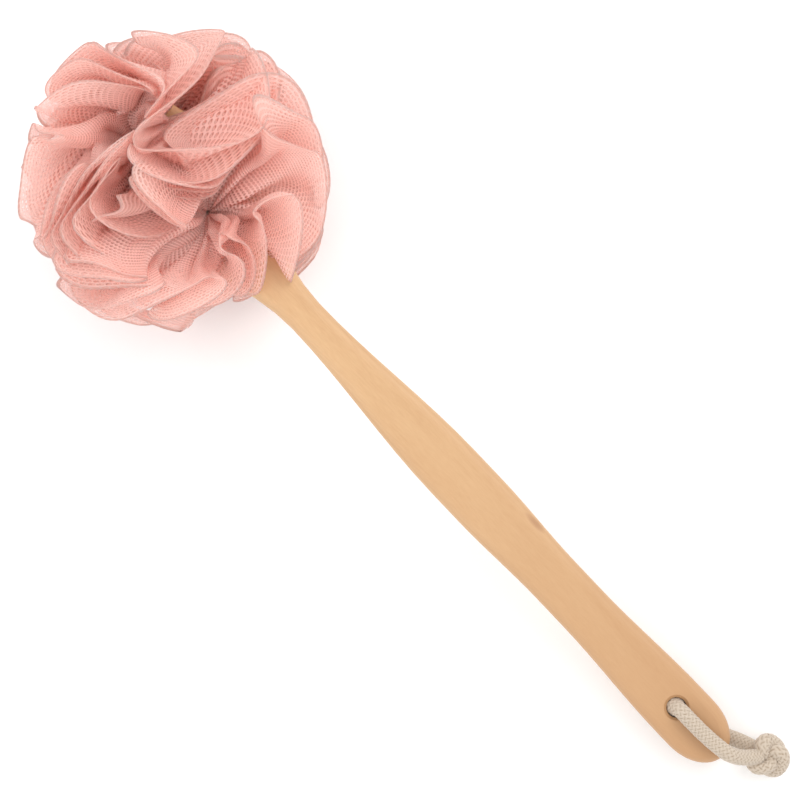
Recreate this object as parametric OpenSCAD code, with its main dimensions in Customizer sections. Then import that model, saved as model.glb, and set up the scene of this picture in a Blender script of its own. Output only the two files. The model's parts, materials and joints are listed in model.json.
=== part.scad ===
// Knitted-mesh bath pouf on a long flat wooden handle, with a knotted rope to hang it by.
// It lies face up on a table: the pouf's soft base and the rope's knot touch the table.
// +X runs from the pouf to the tail of the handle and +Z points up. The origin is on the
// table, under the middle of the pouf and handle together.

/* [Pouf] */
// Diameter of the mesh ball
pouf_d = 140; // [112:1:170]
// Height of the ball before it settles on the table
pouf_h = 132; // [108:1:160]
// How far the ball's own weight presses its base flat
pouf_sink = 6; // [2:0.5:10]
// Gap between neighbouring bunches of mesh
bunch_gap = 0.6; // [0.3:0.1:2]

/* [Handle] */
// Length from the middle of the pouf to the tip of the tail
handle_reach = 351; // [290:1:425]
// Length of the head on the far side of the pouf's middle
head_back = 48; // [34:1:52]
// Width of the head hidden in the pouf
head_w = 50; // [40:1:62]
// Distance from the pouf's middle to the narrowest part of the neck
neck_x = 84; // [70:1:100]
// Width of the neck
neck_w = 16.4; // [12:0.2:22]
// Width of the grip
grip_w = 26.8; // [22:0.2:34]
// Length of the even stretch of the grip
grip_len = 18; // [5:1:22]
// Distance from the tail's tip back to the end of the grip
grip_to_tip = 155; // [130:1:160]
// Width of the waist between grip and tail
waist_w = 23.5; // [18:0.2:28]
// Distance from the tail's tip back to the middle of the waist
waist_to_tip = 98; // [85:1:105]
// Width of the tail
tail_w = 27.8; // [24:0.2:34]
// Length of the curved end of the tail
tail_round = 20; // [15:0.5:24]
// Thickness of the board
handle_t = 12; // [9:0.5:15]
// Radius of its softened edges
edge_r = 4.5; // [1:0.25:4.5]

/* [Hanging rope] */
// Diameter of the rope
rope_d = 7; // [5:0.25:7]
// Room between the rope and the wall of its hole
rope_play = 1; // [0.8:0.1:1.5]
// Distance from the hanging hole to the tail's tip
hole_to_tip = 30; // [28:0.5:34]
// Width of the bevel around the hole
hole_bevel = 1.2; // [1:0.1:1.6]
// Width of the knot
knot_w = 18.6; // [16:0.2:20]
// Height of the knot
knot_h = 14.6; // [12:0.2:16]

/* [Tie] */
// Diameter of the cord that ties the mesh to the head
tie_d = 2.4; // [1.6:0.1:3]
// Width of the bevel around each tie hole
tie_bevel = 0.5; // [0.2:0.1:0.8]
// Distance between the two tie holes
tie_pitch = 43; // [34:1:50]
// Room between the tie cord and the wall of its hole
tie_play = 0.8; // [0.5:0.1:1.2]
// Length of the tie's knot
tie_knot_l = 8; // [6:0.5:10]
// Width and height of the tie's knot
tie_knot_w = 5; // [4:0.25:6]

/* [Hidden] */

// Small clearances
wrap_gap = 0.3;     // between the wood and the mesh gathered round it
lie_gap = 0.3;      // between the board and the rope under its tip
rest_gap = 0.05;    // between the knot and the table
bite = 1;           // how far a tie end is buried in its knot
over = 1;           // overrun of a cut past a face

// The board lies at a slope, held up by the pouf at one end and by the rope at the other
pouf_z = pouf_h / 2 - pouf_sink;
tail_z = rope_d + lie_gap + handle_t / 2;
tilt = asin((pouf_z - tail_z) / handle_reach);
pouf_x = (pouf_d / 2 - handle_reach * cos(tilt)) / 2;

hole_x = handle_reach - hole_to_tip;
hole_r = rope_d / 2 + rope_play;
tie_hole_r = tie_d / 2 + tie_play;
tie_z = handle_t / 2 + wrap_gap + tie_d / 2;
tie_knot_z = handle_t / 2 + wrap_gap + tie_knot_w / 2;

// Outline of the board: stations of [distance from the pouf's middle, half width]
grip_end = handle_reach - grip_to_tip;
waist_x = handle_reach - waist_to_tip;
waist_half = 9;     // half the length of the even stretch of the waist
tail_x = handle_reach - tail_round;
stations = [[0, head_w / 2], [neck_x, neck_w / 2],
            [grip_end - grip_len, grip_w / 2], [grip_end, grip_w / 2],
            [waist_x - waist_half, waist_w / 2], [waist_x + waist_half, waist_w / 2],
            [tail_x - waist_half, tail_w / 2], [tail_x, tail_w / 2]];
cap_steps = 12;     // points round each quarter of the head's and the tail's ends
span_steps = 8;     // points between two stations

// Layers of the softened edge: rings from the back face to the front face
edge_steps = 5;

// The rope's route, as [along, across, lift]: along the board from the hole, across it,
// and up from the face that the rope lies on, with a minus below that face. It runs from
// the middle of the hole over the front face to the knot, and the back face has its own.
rope_front = [[-0.3, 0, -4], [-0.1, 0, -2], [0.6, 0.2, 0.2], [2.6, 0.4, 2.5],
              [6.5, 0.5, 3.8], [13, 0.6, 3.9], [20, 1, 3.9], [26, 1.7, 3.9],
              [30, 2.6, 3.3], [33.5, 4.2, 1.2], [36.8, 6.6, -1.8], [39.4, 9.4, -4.6],
              [41.4, 11.8, -6.6]];
rope_back = [[-0.3, 0, -4], [-0.1, 0, -2], [0.6, 0.2, 0.2], [2.4, 0.8, 2.5],
             [6, 1.8, 3.8], [13, 3.8, 3.9], [20, 5.6, 3.9], [26, 7.4, 3.9],
             [30, 9.2, 3.4], [33.5, 10.8, 2.6], [37, 12, 1.6], [40.5, 13.2, 0.2]];
rope_sides = 12;
rope_rings = 2;     // rings from one point of a route to the next
knot_x = 45;        // the knot's middle, along and across the board from the hole
knot_y = 15;
tie_sides = 8;
tie_bend = 3.5;     // how far the tie cord's corners are rounded off

wood = "#e8bd8c";
mesh_pink = "#f2b3a6";
cotton = "#e6ddcf";
tie_white = "#efe6df";

// ---- curves ----

function smooth(t) = t * t * (3 - 2 * t);
function mix(a, b, t) = a + (b - a) * t;
function unit(v) = v / norm(v);

// Half the board's width at the edge point number i of the stretch after station s
function span_point(s, i) =
    let (a = stations[s], b = stations[s + 1], t = i / span_steps)
    [mix(a[0], b[0], t), mix(a[1], b[1], smooth(t))];

// One long side of the board, from the head's end to the tail's tip, at +Y
function side_points() = concat(
    [for (i = [0:cap_steps - 1]) let (a = 90 * i / cap_steps)
        [-head_back * cos(a), head_w / 2 * sin(a)]],
    [for (s = [0:len(stations) - 2]) for (i = [0:span_steps - 1]) span_point(s, i)],
    [for (i = [0:cap_steps]) let (a = 90 * i / cap_steps)
        [tail_x + tail_round * sin(a), tail_w / 2 * cos(a)]]);

// The whole outline, anticlockwise, with both end points once
function outline() = let (side = side_points(), n = len(side)) concat(
    [for (i = [0:n - 1]) [side[i][0], -side[i][1]]],
    [for (i = [n - 2:-1:1]) side[i]]);

// The outline moved outward by a distance, or inward when it is less than 0
function moved(pts, by) = let (n = len(pts)) [for (i = [0:n - 1])
    let (d = unit(pts[(i + 1) % n] - pts[(i + n - 1) % n])) pts[i] + by * [d[1], -d[0]]];

// A smooth curve through all the points, with some rings from each to the next
function bend_at(p, i, t) =
    let (n = len(p), a = p[max(i - 1, 0)], b = p[i], c = p[i + 1], d = p[min(i + 2, n - 1)])
    0.5 * (2 * b + (c - a) * t + (2 * a - 5 * b + 4 * c - d) * t * t
           + (3 * b - a - 3 * c + d) * t * t * t);
function smooth_route(p, rings) = concat(
    [for (i = [0:len(p) - 2]) for (k = [0:rings - 1]) bend_at(p, i, k / rings)],
    [p[len(p) - 1]]);

// A round tube along a route. across is a direction that the route never turns to.
module tube(route, d, sides, across) {
    n = len(route);
    rings = [for (i = [0:n - 1])
        let (run = unit(route[min(i + 1, n - 1)] - route[max(i - 1, 0)]),
             u = unit(cross(run, across)), v = cross(run, u))
        for (k = [0:sides - 1]) let (a = 360 * k / sides)
            route[i] + d / 2 * (cos(a) * u + sin(a) * v)];
    walls = [for (i = [0:n - 2]) for (k = [0:sides - 1]) let (m = (k + 1) % sides)
        each [[i * sides + k, (i + 1) * sides + k, (i + 1) * sides + m],
              [i * sides + k, (i + 1) * sides + m, i * sides + m]]];
    start = [for (k = [0:sides - 1]) k];
    finish = [for (k = [sides - 1:-1:0]) (n - 1) * sides + k];
    polyhedron(rings, concat([start], walls, [finish]));
}

// ---- shared shapes ----

// Puts what is drawn level, about the pouf's middle, where the sloping board lies
module on_slope() {
    translate([pouf_x, 0, pouf_z]) rotate([0, tilt, 0]) children();
}

// The board: rings of the outline, drawn in towards each face to soften the edge
module board() {
    ring = outline();
    n = len(ring);
    levels = concat([for (i = [edge_steps:-1:0]) [-1, 90 * i / edge_steps]],
                    [for (i = [0:edge_steps]) [1, 90 * i / edge_steps]]);
    rings = [for (l = levels) for (p = moved(ring, -edge_r * (1 - cos(l[1]))))
        [p[0], p[1], l[0] * (handle_t / 2 - edge_r * (1 - sin(l[1])))]];
    walls = [for (j = [0:len(levels) - 2]) for (i = [0:n - 1]) let (m = (i + 1) % n)
        each [[j * n + i, (j + 1) * n + i, (j + 1) * n + m],
              [j * n + i, (j + 1) * n + m, j * n + m]]];
    // Each flat face is a ladder of pieces from one long side straight across to the other
    last = (len(levels) - 1) * n;
    faces = [for (i = [0:n / 2 - 1]) let (a = i, b = i + 1, c = (n - i - 1) % n, d = (n - i) % n)
        each concat(
            i < n / 2 - 1 ? [[a, b, c], [last + c, last + b, last + a]] : [],
            i > 0 ? [[a, c, d], [last + d, last + c, last + a]] : [])];
    polyhedron(rings, concat(walls, faces));
}

// The mesh ball: an ellipse turned about its upright axis, with the base pressed flat
module ball() {
    base_a = asin(-pouf_z / (pouf_h / 2));
    steps = 22;
    translate([pouf_x, 0, 0]) rotate_extrude($fn = 72)
        polygon(concat([[0, 0]],
            [for (i = [0:steps]) let (a = mix(base_a, 90, i / steps))
                [max(pouf_d / 2 * cos(a), 0), pouf_z + pouf_h / 2 * sin(a)]]));
}

// Room in the ball for the head, the neck, the tie cord and the tie's knot
module core_room() {
    reach = tie_pitch / 2 + tie_hole_r;
    tall = handle_t / 2 + wrap_gap + tie_d + wrap_gap;
    knot_room = tie_knot_z + tie_knot_w / 2 + wrap_gap;
    linear_extrude(height = handle_t + 2 * wrap_gap, center = true)
        polygon(moved(outline(), wrap_gap));
    translate([-reach, -tie_hole_r, -tall]) cube([2 * reach, 2 * tie_hole_r, 2 * tall]);
    translate([-tie_knot_l / 2 - wrap_gap, -tie_knot_w / 2 - wrap_gap, -knot_room])
        cube([tie_knot_l + 2 * wrap_gap, tie_knot_w + 2 * wrap_gap, knot_room]);
}

// One bunch of mesh: the quarter of the ball on one side of the board and of the tie
module bunch(along, up) {
    big = pouf_d + pouf_h;
    half = bunch_gap / 2;
    color(mesh_pink) difference() {
        intersection() {
            ball();
            on_slope() translate([along > 0 ? half : -big - half, -big / 2,
                                  up > 0 ? half : -big - half]) cube(big);
        }
        on_slope() core_room();
    }
}

// ---- pieces ----

// A drilled hole right through the board, with a bevel at both faces
module drilled(x, r, bevel) {
    bevel_h = bevel + over;
    translate([x, 0, 0]) {
        cylinder(h = handle_t + 2 * over, r = r, center = true, $fn = 48);
        for (s = [0, 180]) rotate([s, 0, 0]) translate([0, 0, handle_t / 2 - bevel])
            cylinder(h = bevel_h, r1 = r, r2 = r + bevel_h, $fn = 48);
    }
}

module handle() {
    color(wood) on_slope() difference() {
        board();
        drilled(hole_x, hole_r, hole_bevel);
        for (s = [-1, 1]) drilled(s * tie_pitch / 2, tie_hole_r, tie_bevel);
    }
}

module mesh_front_outer() { bunch(-1, 1); }
module mesh_front_inner() { bunch(1, 1); }
module mesh_back_outer() { bunch(-1, -1); }
module mesh_back_inner() { bunch(1, -1); }

// From the knot, through one hole, over the front of the head, and back through the other
module tie_cord() {
    x = tie_pitch / 2;
    b = tie_bend;
    start = tie_knot_l / 2 - bite;
    half = [[x - b, 0, tie_z], [x - b / 4, 0, tie_z - b / 4], [x, 0, tie_z - b]];
    below = [for (i = [2:-1:0]) [half[i][0], 0, -half[i][2]]];
    right = concat(half, [[x, 0, 0]], below, [[start, 0, -tie_z]]);
    left = [for (i = [len(right) - 1:-1:0]) [-right[i][0], 0, right[i][2]]];
    color(tie_white) on_slope()
        tube(smooth_route(concat(left, [[0, 0, tie_z]], right), 2), tie_d, tie_sides, [0, 1, 0]);
}

module tie_knot() {
    color(tie_white) on_slope() translate([0, 0, -tie_knot_z]) rotate([0, 90, 0])
        rotate_extrude($fn = 32) polygon([[0, -tie_knot_l / 2], [tie_knot_w * 0.3, -tie_knot_l / 2],
            [tie_knot_w / 2, -tie_knot_l / 4], [tie_knot_w / 2, tie_knot_l / 4],
            [tie_knot_w * 0.3, tie_knot_l / 2], [0, tie_knot_l / 2]]);
}

// Both strands of the rope as one tube, from the knot through the hole to the knot
module hang_rope() {
    face = handle_t / 2;
    front = [for (p = rope_front) [p[0], p[1], face + p[2]]];
    back = [for (i = [len(rope_back) - 1:-1:0]) let (p = rope_back[i])
        [p[0], p[1], -face - p[2]]];
    color(cotton) on_slope() translate([hole_x, 0, 0])
        tube(smooth_route(concat(back, front), rope_rings), rope_d, rope_sides,
             unit([-knot_y, knot_x, 0]));
}

module hang_knot() {
    rise = sqrt(pow(knot_h / 2 * cos(tilt), 2) + pow(knot_w / 2 * sin(tilt), 2)) + rest_gap;
    z = (rise - pouf_z + (hole_x + knot_x) * sin(tilt)) / cos(tilt);
    steps = 16;
    color(cotton) on_slope() translate([hole_x + knot_x, knot_y, z])
        rotate_extrude($fn = 48) polygon([for (i = [0:steps]) let (a = mix(-90, 90, i / steps))
            [max(knot_w / 2 * cos(a), 0), knot_h / 2 * sin(a)]]);
}

handle();
mesh_front_outer();
mesh_front_inner();
mesh_back_outer();
mesh_back_inner();
tie_cord();
tie_knot();
hang_rope();
hang_knot();
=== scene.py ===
"""A bath pouf of gathered knitted mesh on a long flat wooden handle, with a knotted rope to hang it by."""
import json
import math

import bmesh
import bpy
import numpy as np
from mathutils import Matrix, Vector


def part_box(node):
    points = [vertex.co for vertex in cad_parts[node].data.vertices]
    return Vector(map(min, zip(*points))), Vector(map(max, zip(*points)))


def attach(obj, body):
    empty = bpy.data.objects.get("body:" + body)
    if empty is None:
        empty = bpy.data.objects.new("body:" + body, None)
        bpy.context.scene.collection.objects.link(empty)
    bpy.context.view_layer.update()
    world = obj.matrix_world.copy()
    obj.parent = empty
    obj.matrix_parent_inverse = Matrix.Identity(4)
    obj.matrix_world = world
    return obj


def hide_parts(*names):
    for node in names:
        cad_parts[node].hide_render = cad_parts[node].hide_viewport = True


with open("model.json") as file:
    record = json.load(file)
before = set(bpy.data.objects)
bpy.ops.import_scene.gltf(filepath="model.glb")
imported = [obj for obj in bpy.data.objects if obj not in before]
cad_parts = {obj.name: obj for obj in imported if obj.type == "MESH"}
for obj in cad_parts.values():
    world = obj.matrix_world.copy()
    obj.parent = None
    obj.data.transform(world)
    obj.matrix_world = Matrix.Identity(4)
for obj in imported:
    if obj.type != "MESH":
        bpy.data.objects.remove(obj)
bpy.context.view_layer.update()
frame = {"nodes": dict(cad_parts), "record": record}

MM = 0.001
BODY = "pouf_and_handle"
LOOP = "hang_loop"

# ---- the frame of the sloping board, read from the model ----

hinge = frame["record"]["behaviour"]["joints"][0]
HOLE = np.array(hinge["pos_m"])
FACE = np.array(hinge["axis"])
FACE = FACE / np.linalg.norm(FACE)
ACROSS = np.array([0.0, 1.0, 0.0])
ALONG = np.cross(ACROSS, FACE)

HOLE_FROM_POUF = 321 * MM   # hanging hole to the pouf's middle, along the board
BOARD_T = 12 * MM
ROPE_D = 7 * MM
TIE_PITCH = 43 * MM         # between the two holes that the tie cord goes through
POUF = HOLE - ALONG * HOLE_FROM_POUF
BALL_LOW = np.min([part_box(node)[0] for node in ("mesh_back_outer", "mesh_back_inner")], axis=0)
BALL_HIGH = np.max([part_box(node)[1] for node in ("mesh_front_outer", "mesh_front_inner")], axis=0)
BALL_R = (BALL_HIGH[1] - BALL_LOW[1]) / 2
BALL_H = BALL_HIGH[2] - POUF[2]
BALL = np.array([BALL_R, BALL_R, BALL_H])   # half the ball's length, width and height


def board_points(p, origin=HOLE):
    """Points given along, across and up from the board's middle plane at origin, as points in the frame."""
    p = np.asarray(p, float)
    return origin + p[..., 0:1] * ALONG + p[..., 1:2] * ACROSS + p[..., 2:3] * FACE


# ---- camera: square to the board's face, with the handle running down to the right ----

TURN = math.radians(46.55)          # how far the handle points down from level in the view
CAMERA_AWAY = 1.5                   # in metres, from the board
VIEW_WIDTH = 352.8 * MM             # width of the view in the board's own plane
SENSOR = 36.0                       # in mm
AIM = (139.3 * MM, 4.7 * MM, 0.0)   # middle of the view: along, across and up from the pouf's middle


def make_camera():
    cam = bpy.data.cameras.new("camera")
    cam.lens = SENSOR * CAMERA_AWAY / VIEW_WIDTH
    cam.sensor_width = SENSOR
    cam.clip_end = 20
    obj = bpy.data.objects.new("camera", cam)
    bpy.context.scene.collection.objects.link(obj)
    right = math.cos(TURN) * ALONG + math.sin(TURN) * ACROSS
    top = -math.sin(TURN) * ALONG + math.cos(TURN) * ACROSS
    obj.location = board_points(np.array(AIM), POUF) + CAMERA_AWAY * FACE
    obj.rotation_euler = Matrix(np.stack([right, top, FACE], 1).tolist()).to_euler()
    bpy.context.scene.camera = obj


# ---- small tools for surfaces ----

def add_mesh(name, points, faces, uv=None, smooth=True):
    """A mesh object from an array of points and a list of faces, with a UV for each point."""
    mesh = bpy.data.meshes.new(name)
    mesh.from_pydata(np.asarray(points, float).reshape(-1, 3).tolist(), [], faces)
    if uv is not None:
        layer = mesh.uv_layers.new(name="UVMap")
        corner = np.empty(len(mesh.loops), dtype=np.int32)
        mesh.loops.foreach_get("vertex_index", corner)
        layer.data.foreach_set("uv", np.asarray(uv, float).reshape(-1, 2)[corner].ravel())
    if smooth:
        mesh.polygons.foreach_set("use_smooth", np.ones(len(mesh.polygons), dtype=bool))
    mesh.update()
    obj = bpy.data.objects.new(name, mesh)
    bpy.context.scene.collection.objects.link(obj)
    return obj


def grid_faces(rows, cols, wrap=False):
    """The quads of a grid of rows by cols points; wrap joins the last column to the first."""
    i, j = np.meshgrid(np.arange(rows - 1), np.arange(cols if wrap else cols - 1), indexing="ij")
    k = (j + 1) % cols
    return np.stack([i * cols + j, i * cols + k, (i + 1) * cols + k, (i + 1) * cols + j], -1).reshape(-1, 4)


def smooth_route(points, step):
    """The curve through the points, in even steps. Each stretch is a cubic that leaves each of its points
    along the line between that point's neighbours."""
    p = np.asarray(points, float)
    ends = np.vstack([2 * p[0] - p[1], p, 2 * p[-1] - p[-2]])
    a, b, c, d = ends[:-3, None], ends[1:-2, None], ends[2:-1, None], ends[3:, None]
    t = np.linspace(0, 1, 40, endpoint=False)[None, :, None]
    bend = (2 * a - 5 * b + 4 * c - d) * t ** 2
    twist = (3 * b - a - 3 * c + d) * t ** 3
    fine = 0.5 * (2 * b + (c - a) * t + bend + twist)
    fine = np.vstack([fine.reshape(-1, 3), p[-1]])
    run = np.concatenate([[0], np.cumsum(np.linalg.norm(np.diff(fine, axis=0), axis=1))])
    at = np.linspace(0, run[-1], max(8, int(run[-1] / step)))
    return np.stack([np.interp(at, run, fine[:, k]) for k in range(3)], -1), run[-1]


def unit(v):
    return v / np.maximum(np.linalg.norm(v, axis=-1, keepdims=True), 1e-12)


def frames_along(path):
    """Two directions square to the path at each point, carried along it with no twist."""
    run = unit(np.gradient(path, axis=0))
    side = np.empty_like(path)
    start = np.cross(run[0], [0.3, 0.2, 0.93])
    side[0] = start / np.linalg.norm(start)
    for i in range(1, len(path)):
        s = side[i - 1] - run[i] * np.dot(side[i - 1], run[i])
        side[i] = s / np.linalg.norm(s)
    return side, np.cross(run, side)


# ---- materials ----

class Nodes:
    """A short way to build a node tree: each call adds a node, sets its values and links its inputs."""

    def __init__(self, name):
        self.mat = bpy.data.materials.new(name)
        self.mat.use_nodes = True
        self.tree = self.mat.node_tree
        self.tree.nodes.clear()

    def add(self, kind, values=None, **settings):
        node = self.tree.nodes.new(kind)
        for key, value in settings.items():
            setattr(node, key, value)
        for key, value in (values or {}).items():
            socket = node.inputs[key]
            if isinstance(value, bpy.types.NodeSocket):
                self.tree.links.new(value, socket)
            else:
                socket.default_value = value
        return node

    def math(self, op, a, b=0.0, c=0.0):
        return self.add("ShaderNodeMath", {0: a, 1: b, 2: c}, operation=op).outputs[0]

    def ramp(self, factor, stops):
        node = self.add("ShaderNodeValToRGB", {"Fac": factor})
        node.color_ramp.elements[0].position, node.color_ramp.elements[0].color = stops[0]
        node.color_ramp.elements[1].position, node.color_ramp.elements[1].color = stops[-1]
        for position, colour in stops[1:-1]:
            node.color_ramp.elements.new(position).color = colour
        return node.outputs["Color"]

    def surface(self, shader):
        self.add("ShaderNodeOutputMaterial", {"Surface": shader})
        return self.mat


CUT_DEPTH = 60 * MM         # the flat net of a bunch, from the tie to the rim
CUT_PER_PLEAT = 124 * MM    # and along the rim: each pleat runs 62 mm up and 62 mm down
EYELET_ROW = 1.55 * MM
EYELET_STEP = 1.25 * MM
EYELET_WIDE = 0.74          # about how much of its step, and below of its row, an eyelet takes
EYELET_HIGH = 0.60
THREAD_WANDER = 1.2 * MM    # how far the rows of threads wander from straight
RIM_FOLD = 0.9 * MM         # the doubled line at the rim, where no eyelet shows
SHEER_RIM = 16 * MM         # over this much of its depth the net thins out to the rim
SHEER_MOST = 0.38           # and how much of its threads' cover it has lost there
EYELET_EDGE_SHADE_MOST = 0.42           # the most that a thread takes on of the deeper colour round an eyelet, which is painted shade
LIGHT_THROUGH = 0.54        # how much of the light that threads catch comes through them
EYELET_SHADE_COVER = 0.18          # how much of an eyelet its dark fill of painted shade covers
NET_DEEP = (0.950, 0.712, 0.660, 1)
NET_PALE = (0.965, 0.788, 0.745, 1)
NET_EYELET_EDGE_SHADE = (0.88, 0.45, 0.35, 1)       # painted shade, close round an eyelet
NET_EYELET_SHADE = (0.80, 0.38, 0.29, 1)       # painted shade: a dark fill inside an eyelet


def net_material():
    """Knitted mesh: rows of small eyelets between pink threads, each row set half an eyelet along. Painted
    shade darkens the threads round each eyelet, and a dark fill of painted shade covers part of each eyelet.
    """
    n = Nodes("knitted_mesh")
    uv = n.add("ShaderNodeUVMap", uv_map="UVMap").outputs["UV"]
    split = n.add("ShaderNodeSeparateXYZ", {0: uv})
    warp = n.add("ShaderNodeTexNoise", {"Vector": uv, "Scale": 60.0, "Detail": 1.0}).outputs["Fac"]
    u = n.math("MULTIPLY_ADD", warp, THREAD_WANDER, split.outputs["X"])
    v = n.math("MULTIPLY_ADD", warp, THREAD_WANDER, split.outputs["Y"])
    row = n.math("DIVIDE", v, EYELET_ROW)
    odd = n.math("MULTIPLY", n.math("MODULO", n.math("FLOOR", row), 2.0), 0.5)
    col = n.math("ADD", n.math("DIVIDE", u, EYELET_STEP), odd)
    x = n.math("MULTIPLY", n.math("SUBTRACT", n.math("FRACT", col), 0.5), 2.0)
    y = n.math("MULTIPLY", n.math("SUBTRACT", n.math("FRACT", row), 0.5), 2.0)
    wide = n.math("POWER", n.math("DIVIDE", x, EYELET_WIDE), 2.0)
    high = n.math("POWER", n.math("DIVIDE", y, EYELET_HIGH), 2.0)
    far = n.math("SQRT", n.math("ADD", wide, high))
    thread = n.math("SMOOTH_MIN", 1.0, n.math("MULTIPLY", n.math("SUBTRACT", far, 0.8), 3.0), 0.1)
    thread = n.math("MAXIMUM", thread, 0.0)
    from_rim = n.math("ABSOLUTE", n.math("SUBTRACT", split.outputs["Y"], CUT_DEPTH))
    sheer = n.math("MAXIMUM", n.math("SUBTRACT", 1.0, n.math("DIVIDE", from_rim, SHEER_RIM)), 0.0)
    thread = n.math("MULTIPLY", thread, n.math("MULTIPLY_ADD", sheer, -SHEER_MOST, 1.0))
    hem = n.math("LESS_THAN", from_rim, RIM_FOLD)
    thread = n.math("MAXIMUM", thread, hem)
    tint = n.add("ShaderNodeTexNoise", {"Vector": uv, "Scale": 14.0, "Detail": 3.0}).outputs["Fac"]
    pale = n.ramp(tint, [(0.25, NET_DEEP), (0.75, NET_PALE)])
    # painted shade: the threads take on a deeper colour towards each eyelet's edge
    eyelet_edge_shade = n.math("MULTIPLY", n.math("SUBTRACT", 1.35, far), 1.2)
    eyelet_edge_shade = n.math("MINIMUM", n.math("MAXIMUM", eyelet_edge_shade, 0.0), EYELET_EDGE_SHADE_MOST)
    mix = n.add("ShaderNodeMix", {0: eyelet_edge_shade, 6: pale, 7: NET_EYELET_EDGE_SHADE}, data_type="RGBA")
    colour = mix.outputs[2]
    front = n.add("ShaderNodeBsdfPrincipled", {"Base Color": colour, "Roughness": 0.55})
    front.inputs["Sheen Weight"].default_value = 0.08
    front.inputs["Specular IOR Level"].default_value = 0.3
    through = n.add("ShaderNodeBsdfTranslucent", {"Color": colour})
    cloth = n.add("ShaderNodeMixShader", {0: LIGHT_THROUGH, 1: front.outputs[0], 2: through.outputs[0]})
    clear = n.add("ShaderNodeBsdfTransparent")
    # painted shade: a dark diffuse fill over part of each eyelet, for the shadow seen through the net
    eyelet_shade = n.add("ShaderNodeBsdfDiffuse", {"Color": NET_EYELET_SHADE})
    eyelet = n.add("ShaderNodeMixShader", {0: EYELET_SHADE_COVER, 1: clear.outputs[0], 2: eyelet_shade.outputs[0]})
    mixed = n.add("ShaderNodeMixShader", {0: thread, 1: eyelet.outputs[0], 2: cloth.outputs[0]})
    return n.surface(mixed.outputs[0])


WOOD_DARK = (0.54, 0.320, 0.155, 1)
WOOD_MIDDLE = (0.61, 0.385, 0.197, 1)
WOOD_LIGHT = (0.67, 0.440, 0.234, 1)
WOOD_BROWN = (0.44, 0.235, 0.110, 1)
BROWN_AT = 2.0 * HOLE_FROM_POUF / 1.5   # from the pouf's middle to where the wood would be wholly brown
FLECK = (220 * MM, 10.8 * MM)   # along and across the board from the pouf's middle
FLECK_L = 13 * MM
FLECK_W = 3.2 * MM
FLECK_BROWN = (0.30, 0.13, 0.055, 1)


def wood_material():
    """Pale hardwood with a satin finish: long soft grain along the board, fine pores, one fleck, and browner
    towards the tail."""
    n = Nodes("pale_hardwood")
    place = n.add("ShaderNodeTexCoord").outputs["Object"]
    long = n.add("ShaderNodeMapping", {"Vector": place, "Scale": (6.0, 90.0, 90.0)}).outputs[0]
    broad = n.add("ShaderNodeTexNoise", {"Vector": long, "Scale": 1.0, "Detail": 4.0, "Distortion": 0.6})
    broad = broad.outputs["Fac"]
    fine_at = n.add("ShaderNodeMapping", {"Vector": place, "Scale": (60.0, 1500.0, 1500.0)}).outputs[0]
    fine = n.add("ShaderNodeTexNoise", {"Vector": fine_at, "Scale": 1.0, "Detail": 3.0}).outputs["Fac"]
    mix = n.math("MULTIPLY_ADD", fine, 0.4, n.math("MULTIPLY", broad, 0.6))
    colour = n.ramp(mix, [(0.3, WOOD_DARK), (0.5, WOOD_MIDDLE), (0.7, WOOD_LIGHT)])
    split = n.add("ShaderNodeSeparateXYZ", {0: place})
    # browner with distance from the pouf, towards the tail
    toward_tail = n.math("DIVIDE", n.math("SUBTRACT", split.outputs["X"], float(POUF[0])), BROWN_AT)
    browner = n.add("ShaderNodeMix", {0: toward_tail, 6: colour, 7: WOOD_BROWN}, data_type="RGBA")
    colour = browner.outputs[2]
    fleck = board_points((FLECK[0], FLECK[1], 0), POUF)
    x = n.math("DIVIDE", n.math("SUBTRACT", split.outputs["X"], float(fleck[0])), FLECK_L / 2)
    y = n.math("DIVIDE", n.math("SUBTRACT", split.outputs["Y"], float(fleck[1])), FLECK_W / 2)
    y = n.math("MULTIPLY_ADD", broad, 1.5, n.math("SUBTRACT", y, 0.75))
    near = n.math("SUBTRACT", 1.0, n.math("ADD", n.math("POWER", x, 2.0), n.math("POWER", y, 2.0)))
    near = n.math("MULTIPLY", n.math("MAXIMUM", near, 0.0), 0.55)
    marked = n.add("ShaderNodeMix", {0: near, 6: colour, 7: FLECK_BROWN}, data_type="RGBA")
    colour = marked.outputs[2]
    bump = n.add("ShaderNodeBump", {"Height": fine, "Strength": 0.06, "Distance": 0.4 * MM})
    rough = n.math("MULTIPLY_ADD", fine, 0.12, 0.38)
    wood = n.add("ShaderNodeBsdfPrincipled",
                 {"Base Color": colour, "Roughness": rough, "Normal": bump.outputs[0]})
    return n.surface(wood.outputs[0])


# the deepest colour is painted shade between the braid's strands
COTTON_GROOVE_SHADE = (0.24, 0.16, 0.10, 1)
COTTON_MIDDLE = (0.46, 0.375, 0.29, 1)
COTTON_PALE = (0.585, 0.50, 0.41, 1)


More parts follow.
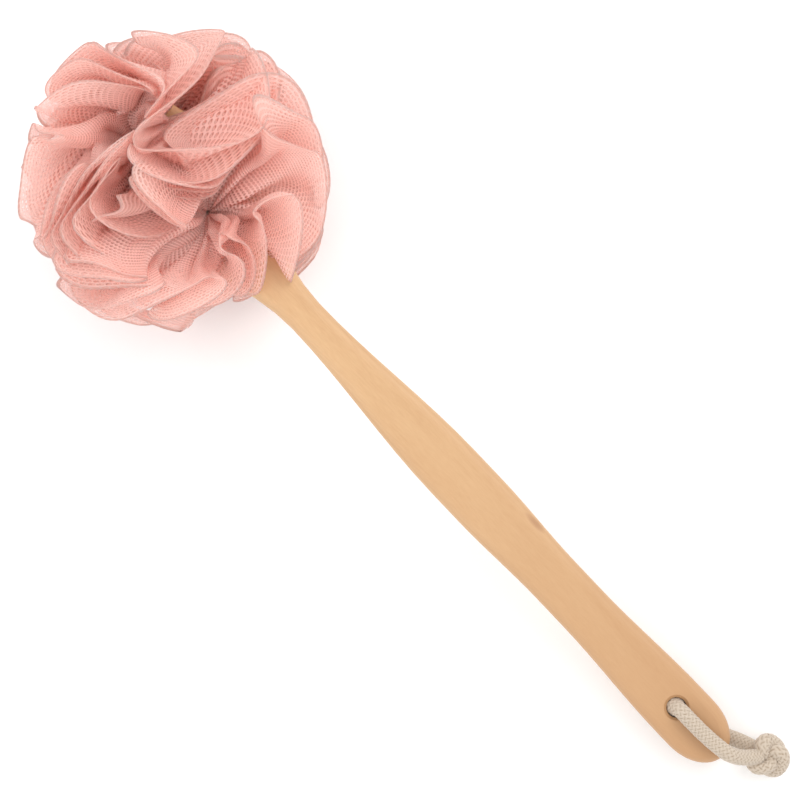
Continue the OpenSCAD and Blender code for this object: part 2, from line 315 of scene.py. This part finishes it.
def cotton_material():
    """Undyed braided cotton: off-white, with painted shade that darkens it between the strands, and a fine
    fuzz.
    """
    n = Nodes("undyed_cotton")
    uv = n.add("ShaderNodeUVMap", uv_map="UVMap").outputs["UV"]
    # the strands' height: the lower the surface, between the strands, the more painted shade
    deep = n.add("ShaderNodeAttribute", attribute_name="braid_shade").outputs["Fac"]
    fuzz = n.add("ShaderNodeTexNoise", {"Vector": uv, "Scale": 1100.0, "Detail": 4.0}).outputs["Fac"]
    tone = n.math("MULTIPLY_ADD", fuzz, 0.6, n.math("MULTIPLY", deep, 0.55))
    colour = n.ramp(tone, [(0.25, COTTON_GROOVE_SHADE), (0.6, COTTON_MIDDLE), (1.0, COTTON_PALE)])
    bump = n.add("ShaderNodeBump", {"Height": fuzz, "Strength": 0.5, "Distance": 0.4 * MM})
    cotton = n.add("ShaderNodeBsdfPrincipled",
                   {"Base Color": colour, "Roughness": 0.9, "Normal": bump.outputs[0]})
    cotton.inputs["Sheen Weight"].default_value = 0.3
    return n.surface(cotton.outputs[0])


def floor_material():
    """A matt near-white floor, with the faintest unevenness."""
    n = Nodes("studio_floor")
    speck = n.add("ShaderNodeTexNoise", {"Scale": 40.0}).outputs["Fac"]
    colour = n.ramp(speck, [(0.3, (0.955, 0.955, 0.955, 1)), (0.7, (0.97, 0.97, 0.97, 1))])
    floor = n.add("ShaderNodeBsdfPrincipled", {"Base Color": colour, "Roughness": 0.9})
    return n.surface(floor.outputs[0])


# ---- the hanging rope ----

# Along and across the board from the hanging hole, and up from the face that the rope lies on, in mm
ROPE_FRONT = [(-0.3, 0, -4), (-0.1, 0, -2), (0.6, 0.2, 0.2), (2.6, 0.4, 2.5),
              (6.5, 0.5, 3.8), (13, 0.6, 3.9), (20, 1, 3.9), (26, 1.7, 3.9),
              (30, 2.6, 3.3), (33.5, 4.2, 1.2), (36.8, 6.6, -1.8), (39.4, 9.4, -4.6),
              (41.4, 11.8, -6.6)]
ROPE_BACK = [(-0.3, 0, -4), (-0.1, 0, -2), (0.6, 0.2, 0.2), (2.4, 0.8, 2.5),
             (6, 1.8, 3.8), (13, 3.8, 3.9), (20, 5.6, 3.9), (26, 7.4, 3.9),
             (30, 9.2, 3.4), (33.5, 10.8, 2.6), (37, 12, 1.6), (40.5, 13.2, 0.2)]
HOLE_D = 9 * MM
HOLE_BEVEL = 1.2 * MM
SQUEEZE_GAP = 0.08 * MM     # between the rope and the wall of the hole
HOLE_SWELL = 0.32           # how much thicker the rope starts out in the hole, before it is pressed in
SWELL_DEPTH = 4.5 * MM
KNOT_SIZE = 9.2 * MM
KNOT_STRAND_R = 3.55 * MM
TIE_D = 2.4 * MM
TIE_OUT = 7.5 * MM          # the tie cord's middle line, from the board's
TIE_BEND = 3.5 * MM
TIE_START = 3.0 * MM        # where the tie cord's ends go into its knot
TIE_TWIST = 5 * MM          # the length in which the tie cord's three strands turn once
TIE_KNOT_SIZE = 2.6 * MM
TIE_KNOT_TIGHT = 0.7        # how much thinner the tie cord is pulled in its knot
BRAID_STRANDS = 8           # strands of the braid that wind each way round the rope
BRAID_PITCH = 16 * MM
BRAID_LOW = 0.90            # the braid's surface between its strands, as a share of the rope's radius
BRAID_RISE = 0.11
ROPE_ROUND = 22 * MM        # the way round the rope, for its UVs


def cord_tube(name, path, radius, cotton, pitch=BRAID_PITCH, twisted=False, sides=72):
    """A cord: a circle carried along the path, its radius raised where a strand rides over the others. In a
    braid, strands wind both ways at a steady pitch and ride over each other by turns, which makes the small
    diamonds. In a twist, three strands wind one way."""
    side, up = frames_along(path)
    run = np.concatenate([[0], np.cumsum(np.linalg.norm(np.diff(path, axis=0), axis=1))])
    a = np.linspace(0, 2 * np.pi, sides, endpoint=False)[None, :]
    s = (run / pitch * 2 * np.pi)[:, None]
    half = BRAID_STRANDS / 2
    one = np.abs(np.cos(half * (a + s)))
    two = np.abs(np.cos(half * (a - s)))
    over = 0.5 + 0.5 * np.tanh(3 * np.sin(half * (a + s)) * np.sin(half * (a - s)) * 2)
    bulge = over * one ** 0.7 + (1 - over) * two ** 0.7
    if twisted:
        bulge = np.abs(np.cos(1.5 * (a + s)))
    loose = 0.02 * np.sin(3 * a + run[:, None] / (1.9 * MM)) * np.sin(run[:, None] / (2.7 * MM))
    r = radius * (BRAID_LOW + BRAID_RISE * bulge + loose)
    outward = np.cos(a)[..., None] * side[:, None] + np.sin(a)[..., None] * up[:, None]
    points = path[:, None] + r[..., None] * outward
    around = np.broadcast_to(a / (2 * np.pi) * ROPE_ROUND, r.shape)
    uv = np.stack([around, np.broadcast_to(run[:, None], r.shape)], -1)
    rows, cols = r.shape
    faces = grid_faces(rows, cols, wrap=True)[:, ::-1].tolist()
    caps = [list(range(cols)), list(range(rows * cols - 1, (rows - 1) * cols - 1, -1))]
    obj = add_mesh(name, points, faces + caps, uv)
    # the strands' height, kept for the painted shade between them
    braid_shade = obj.data.attributes.new("braid_shade", "FLOAT", "POINT")
    braid_shade.data.foreach_set("value", bulge.ravel().astype(np.float32))
    obj.data.materials.append(cotton)
    return obj


def squeeze_in_hole(rope):
    """Presses the rope in to just short of the wall of the hanging hole, which opens out in a bevel at each
    face."""
    points = np.empty(len(rope.data.vertices) * 3)
    rope.data.vertices.foreach_get("co", points)
    points = points.reshape(-1, 3)
    depth = ((points - HOLE) @ FACE)[:, None]
    out = points - HOLE - depth * FACE
    far = np.linalg.norm(out, axis=1, keepdims=True)
    in_bevel = np.abs(depth) - (BOARD_T / 2 - HOLE_BEVEL)
    room = HOLE_D / 2 - SQUEEZE_GAP + np.maximum(in_bevel, 0)
    pressed = (in_bevel < HOLE_BEVEL) & (far > room) & (far < HOLE_D)
    points += np.where(pressed, out * (room / np.maximum(far, 1e-9) - 1), 0)
    rope.data.vertices.foreach_set("co", points.ravel())
    rope.data.update()


def make_rope(cotton):
    """One rope, from the knot along the back of the tail, through the hole, and back along the front."""
    front = [(x * MM, y * MM, BOARD_T / 2 + z * MM) for x, y, z in ROPE_FRONT]
    back = [(x * MM, y * MM, -BOARD_T / 2 - z * MM) for x, y, z in reversed(ROPE_BACK)]
    path = smooth_route(board_points(back + front), 0.35 * MM)[0]
    depth = (path - HOLE) @ FACE
    near_hole = np.linalg.norm((path - HOLE) - depth[:, None] * FACE, axis=1) < ROPE_D / 2
    swell = 1 + HOLE_SWELL * np.exp(-(depth / SWELL_DEPTH) ** 4) * near_hole
    rope = cord_tube("hanging_rope", path, (ROPE_D / 2 * swell)[:, None], cotton)
    squeeze_in_hole(rope)
    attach(rope, LOOP)
    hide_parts("hang_rope")
    knot = make_knot(cotton)


def overhand(middle, size, phase, turn):
    """The line of an overhand knot: a trefoil, which winds twice round its middle while it goes in and out,
    and up and down, three times. But for its lumps it reaches 0.72 of size from its middle. Phase shifts
    where it goes in and out, and turn is how far it is turned in the board's plane."""
    t = np.linspace(0, 2 * np.pi, 400)
    flat = size * (0.48 + 0.24 * np.cos(3 * t + phase))
    lumpy = 1 + 0.18 * np.sin(t + 1.3)
    x = flat * np.cos(2 * t + turn) * lumpy
    y = flat * np.sin(2 * t + turn) / lumpy
    z = 0.32 * size * np.sin(3 * t + phase)
    return middle + np.stack([x, y, z], -1) @ np.stack([ALONG, ACROSS, FACE])


def make_knot(cotton):
    """The overhand knot that closes the loop, its rope drawn tighter in some places than in others."""
    low, high = (np.array(v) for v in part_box("hang_knot"))
    path = overhand((low + high) / 2, KNOT_SIZE, 0.5, 2.4)
    uneven = 1 + 0.11 * np.sin(np.linspace(0, 10 * np.pi, len(path)) + 0.7)
    knot = cord_tube("hanging_knot", path, (KNOT_STRAND_R * uneven)[:, None], cotton, sides=64)
    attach(knot, LOOP)
    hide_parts("hang_knot")
    return knot


def make_tie(cotton):
    """The thin cord that holds the bunches to the board: through both holes, and knotted behind."""
    x, z, b = TIE_PITCH / 2, TIE_OUT, TIE_BEND
    right = [(x - b, 0, z), (x - b / 4, 0, z - b / 4), (x, 0, z - b), (x, 0, 0),
             (x, 0, b - z), (x - b / 4, 0, b / 4 - z), (x - b, 0, -z), (TIE_START, 0, -z)]
    left = [(-px, py, pz) for px, py, pz in reversed(right)]
    path = smooth_route(board_points(np.array(left + [(0, 0, z)] + right), POUF), 0.2 * MM)[0]
    cord = cord_tube("tied_cord", path, TIE_D / 2, cotton, pitch=TIE_TWIST, twisted=True, sides=36)
    low, high = (np.array(v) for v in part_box("tie_knot"))
    line = overhand((low + high) / 2, TIE_KNOT_SIZE, 0.2, 1.1)
    knot = cord_tube("tied_knot", line, TIE_D / 2 * TIE_KNOT_TIGHT, cotton, pitch=TIE_TWIST, twisted=True,
                     sides=36)
    for piece, node in ((cord, "tie_cord"), (knot, "tie_knot")):
        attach(piece, BODY)
        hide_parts(node)


# ---- the gathered mesh ----

RIM_STEPS = 120             # points along the rim for each pleat
DEEP_STEPS = 30             # points from the tie to the rim, on each layer
CORE_R = 0.5 * MM           # the tied neck of a bunch
CORE_OUT = 9.2 * MM         # and how far out it is from the board's middle, just over the tie cord
TIED_WITHIN = 22 * MM       # nearer to its tie than this, the net is held stiller and stiller
LAYER_GAP = 1.6 * MM        # between the two layers of the flattened tube
LAYER_EDGE = 6              # points from a cut end over which its two layers close up
FLOOR_GAP = 0.6 * MM        # the net comes no nearer to the floor than this
PAST_MIDDLE = 13 * MM       # how far a bunch may lean past the plane between it and its neighbour
PAST_BALL = 1.02            # and out of the ball, as a share of the ball's size
PLEATS = 10                 # in each bunch
PLEAT_SPREAD = (0.5, 1.7)   # the narrowest and the widest pleat, before they are fitted round the ball
GATHERS = 5                 # small folds in each pleat, deepest near the tie
GATHER_DEEP = 6.6 * MM
GATHER_RIM = 0.25 * MM      # what is left of their depth at the rim
RIM_TOP = (60, 32)          # how high up the ball a pleat's rim comes, and how much that varies, in degrees
RIM_LOW = (-13, 6)          # how far down it goes, likewise
NECK_CLEAR = 17             # and how much less far over the neck of the handle
NECK_SHORT = 0.13           # the share by which the front net is shorter there
LEAN = (0.90, 0.45)         # how far the pleats lean over each other, and how much that varies
SEAM_REACH = (0.72, 0.28)   # the share of its reach that the net has at a cut end, and what it then gains
SEAM_OVER = 0.3             # over this much of a pleat
CRUMPLE = 7.5 * MM
CRUMPLE_WAVE = 50 * MM
CRUMPLE_WAVES = 7


def soft_noise(rng, count, knots):
    """A smooth random wave of count values from about -1 to 1, through as many random values as knots says.
    It ends as it starts."""
    value = rng.uniform(-1, 1, knots)
    at = np.linspace(0, knots, count)
    i = np.floor(at).astype(int)
    f = at - i
    f = f * f * (3 - 2 * f)
    return value[i % knots] * (1 - f) + value[(i + 1) % knots] * f


def smoothed(values, width):
    """A running mean, weighted to the middle, that carries straight on past both ends."""
    weight = np.hanning(2 * width + 3)[1:-1]
    left = 2 * values[0] - values[width:0:-1]
    right = 2 * values[-1] - values[-2:-width - 2:-1]
    return np.convolve(np.concatenate([left, values, right]), weight / weight.sum(), mode="valid")


def ball_reach(start, ray, along_sign):
    """How far a ray runs from start until it leaves the ball or passes the plane between two bunches."""
    s = start / BALL
    d = ray / BALL
    a = (d * d).sum(-1)
    b = (s * d).sum(-1)
    c = (s * s).sum(-1) - 1
    reach = (-b + np.sqrt(np.maximum(b * b - a * c, 0))) / a
    toward = -ray[..., 0] * along_sign
    gap = abs(start[0]) + PAST_MIDDLE
    plane = np.where(toward > 1e-4, gap / np.maximum(toward, 1e-4), 1.0)
    return 1 / (1 / reach ** 6 + 1 / plane ** 6) ** (1 / 6)


def crumple(points, tie, rng, size, wave):
    """Moves points by a sum of sine waves that run in random directions, so that near neighbours move
    together. Points on the ball's surface only slide along it, and those at the tie stay where they are."""
    shift = np.zeros_like(points)
    for _ in range(CRUMPLE_WAVES):
        k = rng.normal(size=3)
        k *= 2 * np.pi / wave / np.linalg.norm(k) * rng.uniform(0.7, 1.3)
        push = rng.normal(size=3)
        shift += push * np.sin(points @ k + rng.uniform(0, 6.28))[..., None] * size / 2.6
    away = np.linalg.norm(points / BALL, axis=-1, keepdims=True)
    out = unit(points)
    slide = shift - out * (shift * out).sum(-1, keepdims=True) * np.clip(away, 0, 1) ** 2
    free = np.clip(np.linalg.norm(points - tie, axis=-1, keepdims=True) / TIED_WITHIN, 0, 1)
    return points + slide * free


def face_normal(points):
    """The direction square to a grid of points, at each of them."""
    return unit(np.cross(np.gradient(points, axis=1), np.gradient(points, axis=0)))


def gathers(middle, tie, rng, pleats):
    """Folds the surface to and fro across itself, so that much of the length that the cloth has at its rim
    is still there near the tie. The folds fade out at the rim, where the pleats take up the whole length."""
    cols = middle.shape[1]
    s = np.linspace(0, pleats, cols)
    v = np.linspace(0, 1, DEEP_STEPS)[:, None]
    away = np.linalg.norm(middle - tie, axis=-1)
    deep = np.minimum(GATHER_DEEP * (1 - v ** 1.5) + GATHER_RIM, 0.32 * away)
    drift = 0.9 * soft_noise(rng, cols, pleats * 2)
    uneven = 1 + 0.6 * soft_noise(rng, cols, pleats * 3)
    fold = np.sin(2 * np.pi * (GATHERS * s + drift + 0.25 * v * soft_noise(rng, cols, pleats)))
    return middle + face_normal(middle) * (deep * uneven * fold)[..., None]


def bunch(rng, along_sign, up_sign, pleats):
    """The middle surface of one tied bunch, from the tie to the rim. The rim runs over the ball's surface
    and winds up and down it in loops, one for each pleat, that lean over each other; from there in to the
    tie the loops close up and the cloth gathers. Rows run out from the tie, and columns along the rim."""
    cols = pleats * RIM_STEPS + 1
    s = np.linspace(0, pleats, cols)
    tie = np.array([along_sign * TIE_PITCH / 2, 0, up_sign * CORE_OUT])
    spread = np.cumsum(rng.uniform(*PLEAT_SPREAD, pleats))
    spread = np.concatenate([[0], spread / spread[-1]]) * 2 * np.pi * (1 + 1 / pleats) + rng.uniform(0, 6.28)
    before = 2 * spread[0] - spread[1]
    after = 2 * spread[-1] - spread[-2]
    phase = s - 1.25 * np.sin(4 * np.pi * s) / (4 * np.pi)
    azimuth = np.interp(phase, np.arange(-1, pleats + 2), np.concatenate([[before], spread, [after]]))
    azimuth = smoothed(azimuth, RIM_STEPS // 3)
    wave = smoothed(np.tanh(1.6 * np.sin(2 * np.pi * s)) / np.tanh(1.6), RIM_STEPS // 8)
    top = np.radians(RIM_TOP[0] + RIM_TOP[1] * soft_noise(rng, cols, pleats))
    near_neck = np.clip(np.cos(azimuth) * along_sign * 4 - 3, 0, 1) * (along_sign > 0)
    low = np.radians(RIM_LOW[0] + RIM_LOW[1] * soft_noise(rng, cols, pleats * 2) + NECK_CLEAR * near_neck)
    lean = along_sign * (LEAN[0] + LEAN[1] * soft_noise(rng, cols, 6))
    stretch = 1 + 0.05 * soft_noise(rng, cols, pleats * 3)
    v = np.linspace(0, 1, DEEP_STEPS)[:, None]
    open_up = 0.10 + 0.90 * v ** 0.75
    low = low * v ** 2
    rise = (low + top) / 2 + (top - low) / 2 * wave * open_up
    puff = 0.16 * np.sin(np.pi * v) * soft_noise(rng, cols, pleats * 2)
    turn = azimuth + lean * (rise - 0.6) * (0.3 + 0.7 * v) + puff
    ray = np.stack([np.cos(rise) * np.cos(turn), np.cos(rise) * np.sin(turn), up_sign * np.sin(rise)], -1)
    round_off = 1 - 0.17 * np.abs(wave) ** 4
    from_seam = np.clip(np.minimum(s, pleats - s) / SEAM_OVER, 0, 1)
    stretch = stretch * (SEAM_REACH[0] + SEAM_REACH[1] * from_seam)
    stretch = stretch * (1 - NECK_SHORT * near_neck * (up_sign > 0))
    reach = ball_reach(tie, ray, along_sign) * stretch * round_off
    middle = tie + ray * (CORE_R + (reach - CORE_R) * v)[..., None]
    middle = crumple(middle, tie, rng, CRUMPLE, CRUMPLE_WAVE)
    return gathers(middle, tie, rng, pleats)


def inside_ball(points):
    """Draws what sticks out of the ball back to it."""
    away = np.linalg.norm(points / BALL, axis=-1, keepdims=True)
    return points / np.maximum(away / PAST_BALL, 1)


def make_bunch(name, net, node, along_sign, up_sign, seed, pleats):
    """One bunch of flattened tube: a layer to each side of its middle surface, closed at rim and ends."""
    rng = np.random.default_rng(seed)
    middle = inside_ball(bunch(rng, along_sign, up_sign, pleats))
    v = np.linspace(0, 1, DEEP_STEPS)[:, None]
    column = np.arange(middle.shape[1])
    edge = np.clip(np.minimum(column, column[::-1]) / LAYER_EDGE, 0, 1)
    half = LAYER_GAP / 2 * np.sqrt(np.clip(1 - v ** 10, 0, 1)) * np.clip(v * 5, 0, 1) * edge
    lift = face_normal(middle) * half[..., None]
    both = np.concatenate([middle + lift, (middle - lift)[-2::-1]], 0)
    points = board_points(both, POUF)
    points[..., 2] = np.maximum(points[..., 2], FLOOR_GAP)
    length = CUT_PER_PLEAT * pleats
    along = np.linspace(0, length, both.shape[1])[None, :]
    deep = np.linspace(0, 2 * CUT_DEPTH, both.shape[0])[:, None]
    uv = np.stack(np.broadcast_arrays(along, deep), -1)
    obj = add_mesh(name, points, grid_faces(*both.shape[:2]).tolist(), uv)
    join = bmesh.new()
    join.from_mesh(obj.data)
    bmesh.ops.remove_doubles(join, verts=join.verts, dist=1e-7)
    join.to_mesh(obj.data)
    join.free()
    obj.data.materials.append(net)
    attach(obj, BODY)
    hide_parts(node)


# ---- the studio ----

FLOOR_REACH = 3             # in metres, to each side
WORLD_LIGHT = 1.15
KEY_POWER = 11
FILL_POWER = 6


def make_studio():
    """A pale floor under an even white sky, with a key light to the upper right and a fill to the left."""
    r = FLOOR_REACH
    corners = [(-r, -r, 0), (r, -r, 0), (r, r, 0), (-r, r, 0)]
    floor = add_mesh("studio_floor", corners, [[0, 1, 2, 3]], smooth=False)
    floor.data.materials.append(floor_material())
    world = bpy.data.worlds.new("studio")
    world.use_nodes = True
    world.node_tree.nodes["Background"].inputs[0].default_value = (1, 1, 1, 1)
    world.node_tree.nodes["Background"].inputs[1].default_value = WORLD_LIGHT
    bpy.context.scene.world = world
    right = np.array([math.cos(TURN), math.sin(TURN), 0])
    top = np.array([-math.sin(TURN), math.cos(TURN), 0])
    for name, spot, size, power in (
            ("key", right * 0.9 + top * 0.9 + [0, 0, 1.5], 1.0, KEY_POWER),
            ("fill", -right * 1.0 - top * 0.5 + [0, 0, 1.4], 1.4, FILL_POWER)):
        lamp = bpy.data.lights.new(name, "AREA")
        lamp.size = size
        lamp.energy = power
        obj = bpy.data.objects.new(name, lamp)
        bpy.context.scene.collection.objects.link(obj)
        obj.location = spot
        obj.rotation_euler = (-Vector(spot)).to_track_quat("-Z", "Y").to_euler()
    bpy.context.scene.view_settings.view_transform = "Standard"
    bpy.context.scene.view_settings.exposure = 0.0
    bpy.context.scene.cycles.transparent_max_bounces = 40
    bpy.context.scene.cycles.max_bounces = 14
    bpy.context.scene.cycles.diffuse_bounces = 10


make_camera()
cotton = cotton_material()
make_rope(cotton)
make_tie(cotton)
net = net_material()
for name, node, along_sign, up_sign, seed in (
        ("mesh_bunch_front_outer", "mesh_front_outer", -1, 1, 11),
        ("mesh_bunch_front_inner", "mesh_front_inner", 1, 1, 22),
        ("mesh_bunch_back_outer", "mesh_back_outer", -1, -1, 33),
        ("mesh_bunch_back_inner", "mesh_back_inner", 1, -1, 44)):
    make_bunch(name, net, node, along_sign, up_sign, seed, PLEATS)

wood = wood_material()
for slot in frame["nodes"]["handle"].material_slots:
    slot.material = wood

make_studio()
